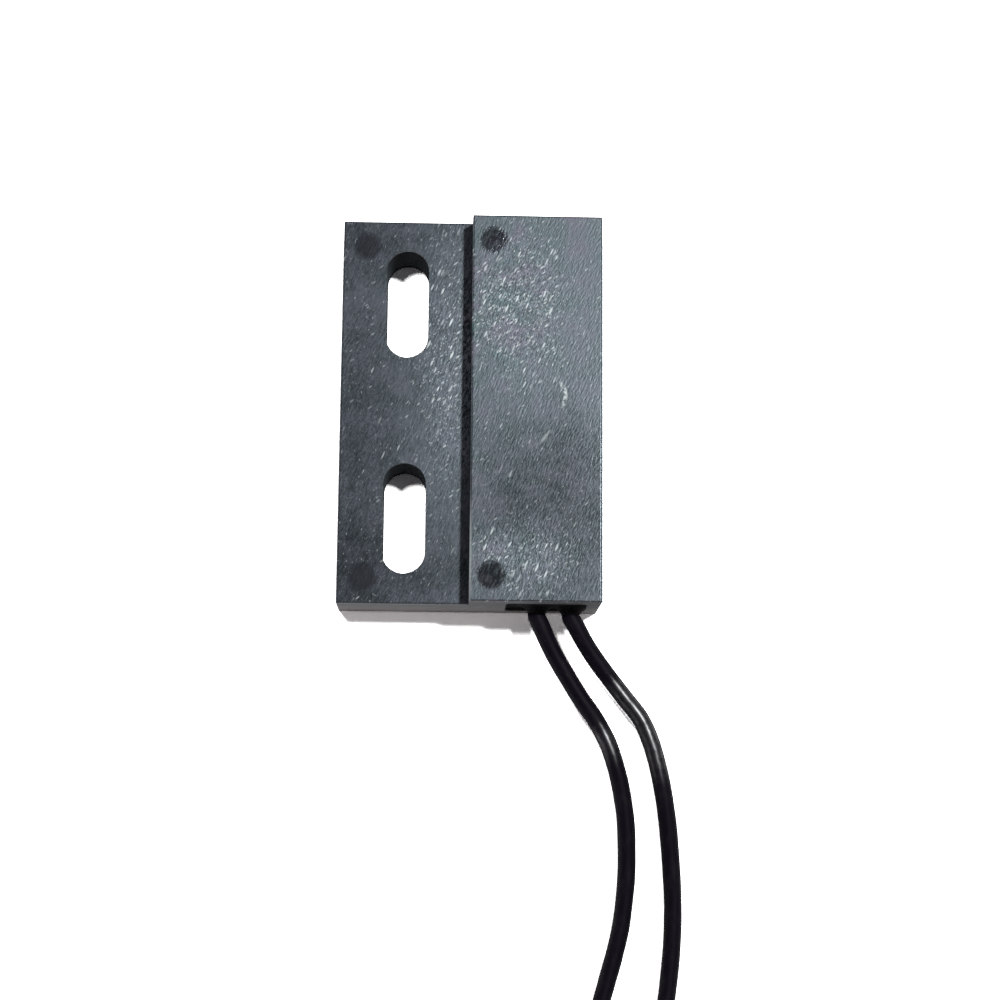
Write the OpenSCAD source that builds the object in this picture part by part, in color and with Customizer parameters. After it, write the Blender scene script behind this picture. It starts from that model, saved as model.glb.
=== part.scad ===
// Flange mount reed sensor: a moulded housing with a slotted flange and a raised block.
// The block holds a glass reed switch, potted in, and two insulated leads leave its open end.
// Frame: origin at the centre of the mounting face, +X to the block, +Y away from the leads, +Z up.
// Millimetres.

/* [Housing] */
// Length of the housing, along the leads
body_l = 28.57; // [27:0.01:36]
// Width across the flange and the block
body_w = 19.05; // [17.5:0.01:26]
// Height of the raised block
body_h = 6.35; // [5.5:0.01:9]
// Width of the raised block
block_w = 9.525; // [9:0.005:11]
// Thickness of the mounting flange
flange_t = 4.25; // [2:0.05:5]
// Rounding of the moulded edges
edge_r = 0.15; // [0.1:0.05:0.5]

/* [Mounting slots] */
// Length of a slot, end to end
slot_l = 8.1; // [5:0.05:10]
// Width of a slot
slot_w = 3.1; // [2.2:0.05:4]
// Distance between the centres of the two slots
slot_pitch = 16; // [13:0.05:17]
// Distance from the flange's outer edge to the line of the slots
slot_edge = 4.8; // [3.5:0.05:6]

/* [Moulding pin marks] */
// Diameter of a mark
mark_d = 2; // [1:0.1:2.6]
// Depth of a mark below the surface
mark_depth = 0.05; // [0.05:0.05:0.4]
// Distance from the housing's end to a mark's centre
mark_end = 1.9; // [1.7:0.05:2.4]
// Distance from the flange's outer edge to its marks
mark_flange = 1.8; // [1.6:0.05:2.2]
// Distance from the block's step to its marks
mark_block = 1.55; // [1.5:0.05:2.5]

/* [Potting cavity] */
// Wall between the step and the cavity
step_wall = 2.7; // [1:0.05:2.8]
// Wall between the cavity and the block's outer side
side_wall = 1; // [0.7:0.05:1.3]
// Wall over the cavity
roof_t = 1.05; // [0.7:0.05:1.4]
// Wall under the cavity
floor_t = 1.05; // [0.7:0.05:1.4]
// Wall at the closed end of the cavity
end_wall = 1.4; // [0.8:0.05:2]
// Corner radius of the cavity
cavity_r = 0.5; // [0.2:0.05:0.8]
// Depth of the potting's face below the mouth
pot_recess = 0.3; // [0.1:0.05:0.6]
// Width of the potting that climbs a lead, at its foot
collar_w = 0.25; // [0.15:0.01:0.26]
// Width that is left of it at its lip
collar_lip = 0.1; // [0.05:0.01:0.14]
// Height that the potting climbs on the near lead
collar_near = 0.5; // [0.4:0.05:0.6]
// Height that the potting climbs on the far lead
collar_far = 0.6; // [0.4:0.05:0.6]

/* [Reed switch] */
// Length of the glass capsule
glass_l = 14; // [12:0.1:16]
// Diameter of the glass capsule
glass_d = 2.3; // [2:0.05:2.6]
// Wall of the glass tube
glass_wall = 0.3; // [0.2:0.05:0.4]
// Length of the fused seal at each end
seal_l = 2; // [1.4:0.1:2.6]
// Rounding of the capsule's ends
glass_r = 0.7; // [0.4:0.05:0.8]
// Diameter of a reed's terminal wire
reed_d = 0.56; // [0.5:0.02:0.7]
// Length of a terminal outside the glass
terminal_l = 2.8; // [2.4:0.1:3.4]
// Width of a reed's flattened blade
blade_w = 1.1; // [0.8:0.05:1.2]
// Thickness of a blade
blade_t = 0.2; // [0.14:0.02:0.26]
// Length of flattened root that stays with the terminal
root_l = 0.5; // [0.3:0.05:0.8]
// Rounding of a blade's tip
tip_r = 0.3; // [0.1:0.05:0.4]
// Overlap of the two blades
overlap_l = 0.9; // [0.5:0.05:1.4]
// Gap between the open contacts
contact_gap = 0.1; // [0.06:0.01:0.16]

/* [Leads] */
// Diameter of a lead over its insulation
lead_d = 1.3; // [1.1:0.05:1.4]
// Diameter of a lead's conductor
core_d = 0.6; // [0.4:0.02:0.7]
// Distance between the two leads
lead_pitch = 2.45; // [2.3:0.05:2.8]
// Distance from the cavity's outer wall to the far lead
lead_inset = 1.1; // [0.92:0.005:1.15]
// Straight insulation that stands out of the mouth
exit_l = 0.35; // [0.32:0.01:0.6]
// Insulation of the near lead inside the mouth
embed_l = 3.6; // [2:0.1:4]
// Bare conductor before the near joint
strip_gap = 0.5; // [0.3:0.05:0.8]
// Length of the solder joint at the near terminal
joint_l = 2; // [1.5:0.1:2.2]
// Solder over the wires
solder_wall = 0.15; // [0.08:0.01:0.2]
// Solder between the two wires
wire_gap = 0.06; // [0.04:0.01:0.1]
// Length of the solder joint at the far terminal
cross_l = 1.5; // [1.2:0.1:1.6]
// Distance from the far terminal's end to the crossing wire
cross_in = 0.9; // [0.85:0.05:1.1]
// Bend radius of the far conductor
bend_r = 1; // [0.8:0.05:1.4]
// Bare conductor before that bend
bare_l = 0.6; // [0.3:0.05:1]
// Length of the tinned end of a lead
tip_l = 5; // [3:0.5:8]

/* [Lead coil] */
// Turns that lie beside each other
coil_columns = 3; // [2:1:4]
// Turns that lie on each other
coil_levels = 4; // [2:1:4]
// Diameter at the middle of the turns
coil_mid_d = 13; // [12:0.1:15.6]
// Thickness of the tie's band
tie_t = 0.4; // [0.3:0.05:0.6]
// Width of the tie's band
tie_w = 2; // [1.5:0.1:3]
// Length of the tie's head along the band
head_l = 3; // [2.4:0.1:4]
// Height of the tie's head off the band
head_h = 1.6; // [1.2:0.1:2.4]
// Rounding of the tie's head
head_r = 0.4; // [0.2:0.05:0.6]
// Cut end of the band that stands out of the head
stub_l = 0.8; // [0.4:0.1:1]

/* [Hidden] */
$fn = 48;
over = 1;                                    // how far a cut runs past a face
lead_sides = 8;                              // sides of a free lead's tube

// Places in the housing
mouth_y = -body_l / 2;
step_x = body_w / 2 - block_w;
slot_x = -body_w / 2 + slot_edge;
cavity_w = block_w - step_wall - side_wall;
cavity_h = body_h - roof_t - floor_t;
cavity_x = step_x + step_wall + cavity_w / 2;
cavity_end = body_l / 2 - end_wall;
axis_z = floor_t + cavity_h / 2;

// Places of the leads and the switch
far_x = body_w / 2 - side_wall - lead_inset;
near_x = far_x - lead_pitch;
reed_x = near_x - (reed_d + core_d) / 2 - wire_gap;
exit_y = mouth_y - exit_l;
jacket_y = mouth_y + embed_l;
terminal_y = jacket_y + strip_gap;
glass_y = terminal_y + terminal_l + glass_l / 2;
cavity_half = glass_l / 2 - seal_l;
hinge_half = cavity_half - root_l;
blade_z = (blade_t + contact_gap) / 2;
far_end_y = glass_y + glass_l / 2 + terminal_l;
cross_y = far_end_y - cross_in;
bend_y = cross_y - bend_r;
solder_r = max(reed_d, core_d) + solder_wall;

// The coil of the length that lies out of sight
coil_inner = coil_mid_d / 2 - coil_columns * lead_d / 2;
coil_outer = coil_mid_d / 2 + coil_columns * lead_d / 2;
coil_h = coil_levels * lead_d;
turn_r = coil_mid_d / 2 + (coil_columns - 1) * lead_d / 2;
coil_corner = [13.4, -65.8];                 // where the leads meet the outermost turn, by side and by end
coil_at = [coil_corner[0] - turn_r, coil_corner[1] + turn_r];
tie_clear = 0.05;

// Points along the free leads, chosen by hand from where the leads lie
near_route = [
    [5.3, -15.6, 3.12], [5.75, -16.6, 2.97], [6.35, -17.75, 2.79], [7.2, -19.15, 2.64],
    [8.2, -20.75, 2.57], [9.3, -22.3, 2.52], [10.15, -23.85, 2.47], [10.75, -25.55, 2.38],
    [11.2, -27.4, 2.19], [11.5, -29.35, 1.96], [11.6, -31.3, 1.71], [11.6, -33.25, 1.46],
    [11.45, -35.2, 1.22], [11.2, -37.1, 1.01], [10.75, -39.05, 0.83], [10.2, -41, 0.73],
    [9.65, -43.2, 0.67], [9.75, -45.8, 0.65], [10.45, -48.4, 0.65], [11.55, -51, 0.7],
    [12.6, -53.5, 0.85], [13.2, -55.5, 1], [13.4, -57.5, 1.05]
];
far_route = [
    [7.8, -15.55, 3.12], [8.35, -16.55, 2.98], [9.1, -17.7, 2.79], [10.15, -19.1, 2.64],
    [11.4, -20.7, 2.57], [12.6, -22.25, 2.52], [13.3, -23.85, 2.47], [13.8, -25.55, 2.38],
    [14.2, -27.4, 2.19], [14.5, -29.35, 1.96], [14.7, -31.25, 1.71], [14.85, -33.2, 1.46],
    [14.95, -35.15, 1.22], [14.95, -37.1, 1.01], [14.85, -39, 0.83], [14.65, -40.95, 0.73],
    [14.25, -44, 0.67], [14.1, -46.7, 0.7], [13.95, -49.4, 1.05], [13.75, -52, 1.8],
    [13.5, -54.5, 2.8], [13.4, -57, 3.55]
];
near_tail_route = [
    [13.4, -59.5, 2.3], [13.5, -61.5, 1.95], [13.65, -63.5, 1.35], [13.85, -65.5, 0.8], [14, -67.5, 0.65]
];
far_tail_route = [
    [4.4, -65.85, 4.9], [2.4, -66, 4.4], [0.4, -66.15, 3.3], [-1.6, -66.3, 2], [-3.6, -66.4, 1], [-5.6, -66.5, 0.65]
];
straight_out = [0, -0.2, 0];                 // the first stretch of a lead, before it bends

near_exit = [near_x, exit_y, axis_z];
far_exit = [far_x, exit_y, axis_z];

// A 2D rectangle about its centre with round corners
module round_rect(w, h, r) {
    square([w - 2 * r, h], center = true);
    square([w, h - 2 * r], center = true);
    for (sx = [-1, 1], sy = [-1, 1])
        translate([sx * (w / 2 - r), sy * (h / 2 - r)])
            circle(r);
}

// A 2D section from x0 to x1 that stands on its base line, with its top corners rounded
module crowned(x0, x1, h, r) {
    translate([x0, 0])
        square([x1 - x0, h - r]);
    translate([x0 + r, 0])
        square([x1 - x0 - 2 * r, h]);
    for (x = [x0 + r, x1 - r])
        translate([x, h - r])
            circle(r);
}

// Carries an X-Z section along Y, from y0 to y1
module along_y(y0, y1) {
    translate([0, y1, 0])
        rotate([90, 0, 0])
            linear_extrude(y1 - y0)
                children();
}

// A round rod along Y
module rod_y(x, z, d, y0, y1) {
    translate([x, y1, z])
        rotate([90, 0, 0])
            cylinder(d = d, h = y1 - y0);
}

// A body of revolution about a line along Y, from a half section drawn at X >= 0
module turned_y(x, y, z) {
    translate([x, y, z])
        rotate([-90, 0, 0])
            rotate_extrude()
                children();
}

// Half section of a round bar with rounded ends, centred on its length
module bar_half(r, l, round) {
    translate([0, -l / 2 + round])
        square([r, l - 2 * round]);
    translate([0, -l / 2])
        square([r - round, l]);
    for (s = [-1, 1])
        translate([r - round, s * (l / 2 - round)])
            intersection() {
                circle(round);
                translate([-(r - round), -round])
                    square([r, 2 * round]);
            }
}

// A moulded bar over the whole length, its top and upright edges rounded
module moulded_bar(x0, x1, h) {
    intersection() {
        along_y(mouth_y, -mouth_y)
            crowned(x0, x1, h, edge_r);
        translate([x0, 0, 0])
            rotate([90, 0, 90])
                linear_extrude(x1 - x0)
                    crowned(mouth_y, -mouth_y, h, edge_r);
        linear_extrude(h)
            translate([(x0 + x1) / 2, 0])
                round_rect(x1 - x0, body_l, edge_r);
    }
}

// One mounting slot, cut right through the flange
module slot_cut() {
    translate([0, 0, -over])
        linear_extrude(flange_t + 2 * over) {
            square([slot_w, slot_l - slot_w], center = true);
            for (s = [-1, 1])
                translate([0, s * (slot_l - slot_w) / 2])
                    circle(d = slot_w);
        }
}

// A pair of shallow round marks, one near each end of the housing
module pin_marks(x, top) {
    for (s = [-1, 1])
        translate([x, s * (body_l / 2 - mark_end), top - mark_depth])
            cylinder(d = mark_d, h = mark_depth + over);
}

// The room in the block, from a given place near the mouth to the closed end
module cavity_from(y0) {
    along_y(y0, cavity_end)
        translate([cavity_x, axis_z])
            round_rect(cavity_w, cavity_h, cavity_r);
}

module housing() {
    color("#3d4246")
    difference() {
        union() {
            moulded_bar(-body_w / 2, step_x + 2 * edge_r, flange_t);
            moulded_bar(step_x, body_w / 2, body_h);
        }
        for (s = [-1, 1])
            translate([slot_x, s * slot_pitch / 2, 0])
                slot_cut();
        pin_marks(-body_w / 2 + mark_flange, flange_t);
        pin_marks(step_x + mark_block, body_h);
        cavity_from(mouth_y - over);
    }
}

// Potting that climbs a lead: a cone on the potting's face
module collar(x, climb) {
    translate([x, mouth_y + pot_recess + over, axis_z])
        rotate([90, 0, 0])
            cylinder(r = lead_d / 2 + collar_w, h = over);
    translate([x, mouth_y + pot_recess, axis_z])
        rotate([90, 0, 0])
            cylinder(r1 = lead_d / 2 + collar_w, r2 = lead_d / 2 + collar_lip, h = climb);
}

// The epoxy that fills the block: the cavity less everything that it surrounds
module potting() {
    color("#1d1b1d")
    difference() {
        union() {
            cavity_from(mouth_y + pot_recess);
            collar(near_x, collar_near);
            collar(far_x, collar_far);
        }
        turned_y(reed_x, glass_y, axis_z)
            bar_half(glass_d / 2, glass_l, glass_r);
        rod_y(reed_x, axis_z, reed_d, terminal_y, far_end_y);
        near_solder_form();
        far_solder_form();
        near_core_form();
        far_core_form();
        rod_y(near_x, axis_z, lead_d, exit_y - over, jacket_y);
        rod_y(far_x, axis_z, lead_d, exit_y - over, bend_y - bare_l);
    }
}

module glass_capsule() {
    color("#7fae8c", 0.5)
    turned_y(reed_x, glass_y, axis_z)
        difference() {
            bar_half(glass_d / 2, glass_l, glass_r);
            bar_half(glass_d / 2 - glass_wall, 2 * cavity_half, glass_r - glass_wall);
            translate([0, -glass_l])
                square([reed_d / 2, 2 * glass_l]);
        }
}

// Places a reed's flat stock in the switch: way is 1 for the near reed, over the axis, and -1 for the far one.
// Its outline is drawn with the hinge line at Y = 0 and the tip towards +Y.
module flat_stock(way) {
    translate([reed_x, glass_y - way * hinge_half, axis_z + way * blade_z - blade_t / 2])
        rotate([0, 0, way > 0 ? 0 : 180])
            linear_extrude(blade_t)
                children();
}

// A reed's terminal wire with its root, which widens to the blade
module reed(way, y0, y1) {
    color("#b9b6ae")
    union() {
        rod_y(reed_x, axis_z, reed_d, y0, y1);
        flat_stock(way)
            polygon([
                [-reed_d / 2, -root_l], [reed_d / 2, -root_l],
                [blade_w / 2, 0], [-blade_w / 2, 0]
            ]);
    }
}

// A reed's blade, with its tip rounded
module blade(way) {
    blade_l = hinge_half + overlap_l / 2;
    color("#c9c6bd")
    flat_stock(way)
        union() {
            translate([-blade_w / 2, 0])
                square([blade_w, blade_l - tip_r]);
            translate([-blade_w / 2 + tip_r, 0])
                square([blade_w - 2 * tip_r, blade_l]);
            for (s = [-1, 1])
                translate([s * (blade_w / 2 - tip_r), blade_l - tip_r])
                    circle(tip_r);
        }
}

module near_reed() {
    reed(1, terminal_y, glass_y - cavity_half);
}

module far_reed() {
    reed(-1, glass_y + cavity_half, far_end_y);
}

module near_blade() {
    blade(1);
}

module far_blade() {
    blade(-1);
}

// The near conductor, straight from the lead to beside the near terminal
module near_core_form() {
    rod_y(near_x, axis_z, core_d, exit_y, terminal_y + joint_l + strip_gap);
}

// The far conductor, up beside the capsule and round a bend to the far terminal
module far_core_form() {
    rod_y(far_x, axis_z, core_d, exit_y, bend_y);
    translate([far_x - bend_r, bend_y, axis_z])
        rotate_extrude(angle = 90)
            translate([bend_r, 0])
                circle(d = core_d);
    translate([reed_x + reed_d / 2 + wire_gap, cross_y, axis_z])
        rotate([0, 90, 0])
            cylinder(d = core_d, h = far_x - bend_r - reed_x - reed_d / 2 - wire_gap);
}

// A bead of solder that runs along both wires
module near_solder_form() {
    turned_y(near_x - core_d / 2 - wire_gap / 2, terminal_y + strip_gap / 2 + joint_l / 2, axis_z)
        bar_half(solder_r, joint_l, solder_r / 2);
}

// A shorter bead where the crossing wire meets the terminal
module far_solder_form() {
    turned_y(reed_x + reed_d / 2 + wire_gap / 2, cross_y, axis_z)
        bar_half(solder_r, cross_l, solder_r / 2);
}

module near_solder() {
    color("#a9abad")
    difference() {
        near_solder_form();
        rod_y(reed_x, axis_z, reed_d, terminal_y, glass_y);
        near_core_form();
    }
}

module far_solder() {
    color("#a9abad")
    difference() {
        far_solder_form();
        rod_y(reed_x, axis_z, reed_d, glass_y, far_end_y);
        far_core_form();
    }
}

module near_conductor() {
    color("#c98a52")
    near_core_form();
}

module far_conductor() {
    color("#c98a52")
    far_core_form();
}

// Insulation of a lead where it is held by the potting
module jacket(x, y1) {
    color("#17161a")
    difference() {
        rod_y(x, axis_z, lead_d, exit_y, y1);
        rod_y(x, axis_z, core_d, exit_y - over, y1 + over);
    }
}

module near_jacket() {
    jacket(near_x, jacket_y);
}

module far_jacket() {
    jacket(far_x, bend_y - bare_l);
}

// Direction of a path at one of its points
function heading(path, i) =
    let (
        a = path[max(i - 1, 0)],
        b = path[min(i + 1, len(path) - 1)]
    )
    (b - a) / norm(b - a);

// Points of the ring round one point of a path
function ring(centre, along, d) =
    let (
        side = cross(along, [0, 0, 1]) / norm(cross(along, [0, 0, 1])),
        up = cross(side, along)
    )
    [
        for (k = [0 : lead_sides - 1])
            let (a = 360 * (k + 0.5) / lead_sides)
                centre + d / 2 * (cos(a) * side + sin(a) * up)
    ];

// A tube of round section that follows a path
module tube(path, d) {
    n = len(path);
    points = [for (i = [0 : n - 1]) each ring(path[i], heading(path, i), d)];
    walls = [
        for (i = [0 : n - 2], k = [0 : lead_sides - 1])
            let (
                a = i * lead_sides + k,
                b = i * lead_sides + (k + 1) % lead_sides
            )
                [a, b, b + lead_sides, a + lead_sides]
    ];
    first = [for (k = [lead_sides - 1 : -1 : 0]) k];
    last = [for (k = [0 : lead_sides - 1]) (n - 1) * lead_sides + k];
    polyhedron(points, concat(walls, [first, last]));
}

module near_lead() {
    color("#151418")
    tube(concat([near_exit, near_exit + straight_out], near_route), lead_d);
}

module far_lead() {
    color("#151418")
    tube(concat([far_exit, far_exit + straight_out], far_route), lead_d);
}

module near_tail() {
    color("#151418")
    tube(near_tail_route, lead_d);
}

module far_tail() {
    color("#151418")
    tube(far_tail_route, lead_d);
}

// The tinned end of a lead, straight on from the last point of its tail
module tip(route) {
    end = route[len(route) - 1];
    way = end - route[len(route) - 2];
    color("#b7b9bb")
    translate(end)
        rotate([-90, 0, atan2(-way[0], way[1])])
            cylinder(d = core_d, h = tip_l);
}

module near_tip() {
    tip(near_tail_route);
}

module far_tip() {
    tip(far_tail_route);
}

// Both leads coiled together: the outer form of the turns
module lead_coil() {
    color("#151418")
    translate([coil_at[0], coil_at[1], tie_t])
        rotate_extrude()
            translate([coil_mid_d / 2, coil_h / 2])
                round_rect(coil_outer - coil_inner, coil_h, lead_d / 2);
}

// A band round the turns on the side away from the leads, with its head outside
module coil_tie() {
    near_side = sqrt(pow(coil_inner, 2) - pow(tie_w / 2, 2)) - tie_clear;
    far_side = coil_outer + tie_clear;
    band_w = far_side - near_side;
    middle_z = tie_t + coil_h / 2;
    head_x = coil_at[0] - far_side - tie_t;
    color("#1b1b1d")
    union() {
        along_y(coil_at[1] - tie_w / 2, coil_at[1] + tie_w / 2)
            translate([coil_at[0] - (near_side + far_side) / 2, middle_z])
                difference() {
                    round_rect(band_w + 2 * tie_t, coil_h + 2 * tie_t, lead_d / 2 + tie_t);
                    round_rect(band_w, coil_h, lead_d / 2);
                }
        along_y(coil_at[1] - tie_w / 2 - tie_t, coil_at[1] + tie_w / 2 + tie_t)
            translate([head_x + tie_t / 2 - head_h / 2, middle_z])
                round_rect(head_h, head_l, head_r);
        translate([head_x - head_h / 2, coil_at[1] - tie_w / 2, middle_z])
            cube([tie_t, tie_w, head_l / 2 + stub_l]);
    }
}

housing();
potting();
glass_capsule();
near_reed();
far_reed();
near_blade();
far_blade();
near_solder();
far_solder();
near_conductor();
far_conductor();
near_jacket();
far_jacket();
near_lead();
far_lead();
lead_coil();
coil_tie();
near_tail();
far_tail();
near_tip();
far_tip();
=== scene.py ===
"""Looks of a flange mount reed sensor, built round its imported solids.

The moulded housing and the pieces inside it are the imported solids, which get their finishes
here. The two leads, their bare ends and the face of the potting are new pieces.
Everything is in metres, in the frame of the solids, unless a name ends in _mm.
"""

from __future__ import annotations

import logging
import math
from dataclasses import dataclass
from enum import Enum

import bpy
import numpy as np
from mathutils import Euler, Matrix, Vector
from numpy.typing import NDArray

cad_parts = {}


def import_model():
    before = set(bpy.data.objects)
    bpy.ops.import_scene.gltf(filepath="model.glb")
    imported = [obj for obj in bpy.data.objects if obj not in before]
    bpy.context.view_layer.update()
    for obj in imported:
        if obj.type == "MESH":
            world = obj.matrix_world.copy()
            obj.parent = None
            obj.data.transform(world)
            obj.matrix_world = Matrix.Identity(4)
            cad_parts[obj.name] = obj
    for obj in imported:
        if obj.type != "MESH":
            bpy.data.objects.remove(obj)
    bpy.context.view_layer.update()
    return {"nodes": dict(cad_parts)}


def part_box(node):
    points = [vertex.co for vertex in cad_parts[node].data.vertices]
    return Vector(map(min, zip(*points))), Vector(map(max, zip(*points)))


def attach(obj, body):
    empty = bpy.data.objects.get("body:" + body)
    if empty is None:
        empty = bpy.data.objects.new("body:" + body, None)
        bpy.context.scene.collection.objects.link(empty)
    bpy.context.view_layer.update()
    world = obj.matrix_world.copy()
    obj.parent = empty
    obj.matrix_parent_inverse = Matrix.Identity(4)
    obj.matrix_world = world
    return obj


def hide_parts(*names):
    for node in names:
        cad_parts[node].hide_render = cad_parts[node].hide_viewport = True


LOG = logging.getLogger("reed_sensor")
MM = 0.001
RUBBED = "rubbed"

Array = NDArray[np.float64]
Color = tuple[float, float, float, float]
Point = tuple[float, float, float]
Socket = bpy.types.NodeSocket
Sockets = dict[str | int, object]


def smooth_step(x: Array) -> Array:
    """Rises from 0 at x = 0 to 1 at x = 1 as 3 x squared less 2 x cubed, and is level outside.

    Args:
        x: where to read the step.

    Returns:
        The step's height at each x.
    """
    t = np.clip(x, 0.0, 1.0)
    return t * t * (3.0 - 2.0 * t)


def unit(vectors: Array) -> Array:
    """Scales each row to length 1.

    Args:
        vectors: rows of X, Y and Z.

    Returns:
        The rows, each divided by its length.
    """
    return vectors / np.linalg.norm(vectors, axis=-1, keepdims=True)


def run_along(points: Array) -> Array:
    """Adds up the distances between neighbouring points, from 0 at the first one.

    Args:
        points: rows of X, Y and Z.

    Returns:
        The length along the points at each of them.
    """
    return np.concatenate([[0.0], np.cumsum(np.linalg.norm(np.diff(points, axis=0), axis=1))])


def smooth_path(points: Array, step: float) -> Array:
    """Draws one smooth curve through points and reads it at even steps.

    Each stretch is a cubic between two points. Its slope at a point is the line from the
    point before to the point after, over the length between them along the points.

    Args:
        points: rows of X, Y and Z to pass through.
        step: distance between two points of the answer.

    Returns:
        Rows along the curve, from the first point to the last.
    """
    along = run_along(points)
    slope = np.gradient(points, along, axis=0)
    fine = np.linspace(0.0, along[-1], int(along[-1] / step) * 4)
    cell = np.clip(np.searchsorted(along, fine, side="right") - 1, 0, len(along) - 2)
    width = (along[cell + 1] - along[cell])[:, None]
    t = (fine - along[cell])[:, None] / width
    curve = (
        (2 * t**3 - 3 * t**2 + 1) * points[cell]
        + (t**3 - 2 * t**2 + t) * width * slope[cell]
        + (3 * t**2 - 2 * t**3) * points[cell + 1]
        + (t**3 - t**2) * width * slope[cell + 1]
    )
    run = run_along(curve)
    even = np.linspace(0.0, run[-1], int(round(run[-1] / step)) + 1)
    return np.stack([np.interp(even, run, curve[:, k]) for k in range(3)], axis=1)


def ring_angles(sides: int) -> Array:
    """Angles of the points of a ring, evenly round from the first."""
    return np.arange(sides) * (2.0 * math.pi / sides)


def ring_walls(rings: int, sides: int, first: int = 0) -> list[list[int]]:
    """Joins each ring of points to the next one with quads.

    Args:
        rings: how many rings there are.
        sides: points in a ring.
        first: number of the first point in its mesh.

    Returns:
        Point numbers of each quad.
    """
    i = np.arange(rings - 1)[:, None] * sides
    k = np.arange(sides)[None, :]
    a = first + i + k
    b = first + i + (k + 1) % sides
    return np.stack([a, a + sides, b + sides, b], axis=-1).reshape(-1, 4).tolist()


@dataclass
class TubeForm:
    """A round tube along a path, as a grid of rings.

    The point at ring i and angle a is the path's point i, plus the radius there times cos a
    along the path's level side and sin a along the normal over it.

    Attributes:
        path: ring centres.
        radius: radius at each ring and angle, or one radius for all.
        sides: points in a ring.
    """

    path: Array
    radius: Array | float
    sides: int

    def points(self) -> Array:
        """Works out all points.

        Returns:
            Rows of X, Y and Z, ring by ring.
        """
        ahead = unit(np.gradient(self.path, axis=0))
        side = unit(np.cross(ahead, np.array([0.0, 0.0, 1.0])))
        over = np.cross(side, ahead)
        a = ring_angles(self.sides)[None, :, None]
        reach = np.broadcast_to(np.asarray(self.radius, float), (len(self.path), self.sides))
        ring = np.cos(a) * side[:, None, :] + np.sin(a) * over[:, None, :]
        return (self.path[:, None, :] + reach[:, :, None] * ring).reshape(-1, 3)

    def faces(self, first: int = 0) -> list[list[int]]:
        """Lists the walls as quads and the two ends as one face each.

        Args:
            first: number of the form's first point in its mesh.

        Returns:
            Point numbers of each face, turned outwards.
        """
        rings = len(self.path)
        start = first + np.arange(self.sides)
        end = first + (rings - 1) * self.sides + np.arange(self.sides)[::-1]
        return [*ring_walls(rings, self.sides, first), start.tolist(), end.tolist()]

    def straightened(self) -> Array:
        """Places each point as if the tube lay straight, for patterns that follow it.

        Returns:
            Rows of cos a and sin a times a mean radius, and the length along the path.
        """
        mean = float(np.mean(self.radius))
        a = ring_angles(self.sides)
        flat = np.stack([mean * np.cos(a), mean * np.sin(a)], axis=1)
        around = np.tile(flat, (len(self.path), 1))
        return np.column_stack([around, np.repeat(run_along(self.path), self.sides)])


def new_piece(name: str, points: Array, faces: list[list[int]]) -> bpy.types.Object:
    """Makes a smooth mesh object at the origin, with its place in its mesh.

    Args:
        name: name of the piece.
        points: rows of X, Y and Z.
        faces: point numbers of each face.

    Returns:
        The object, in the scene.
    """
    mesh = bpy.data.meshes.new(name)
    mesh.from_pydata(points.tolist(), [], faces)
    mesh.validate()
    mesh.polygons.foreach_set("use_smooth", np.full(len(mesh.polygons), True))
    mesh.update()
    piece = bpy.data.objects.new(name, mesh)
    bpy.context.scene.collection.objects.link(piece)
    return piece


def keep_vectors(piece: bpy.types.Object, name: str, vectors: Array) -> None:
    """Stores a vector for each point of a piece, under a name that its finish reads.

    Args:
        piece: the mesh object.
        name: name of the attribute.
        vectors: one row for each point.
    """
    kept = piece.data.attributes.new(name, "FLOAT_VECTOR", "POINT")
    kept.data.foreach_set("vector", vectors.astype(np.float32).ravel())


def dress(piece: bpy.types.Object, material: bpy.types.Material) -> None:
    """Gives all of a piece one material.

    Args:
        piece: the object to dress.
        material: its finish.
    """
    if not piece.material_slots:
        piece.data.materials.append(material)
    for slot in piece.material_slots:
        slot.material = material


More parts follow.
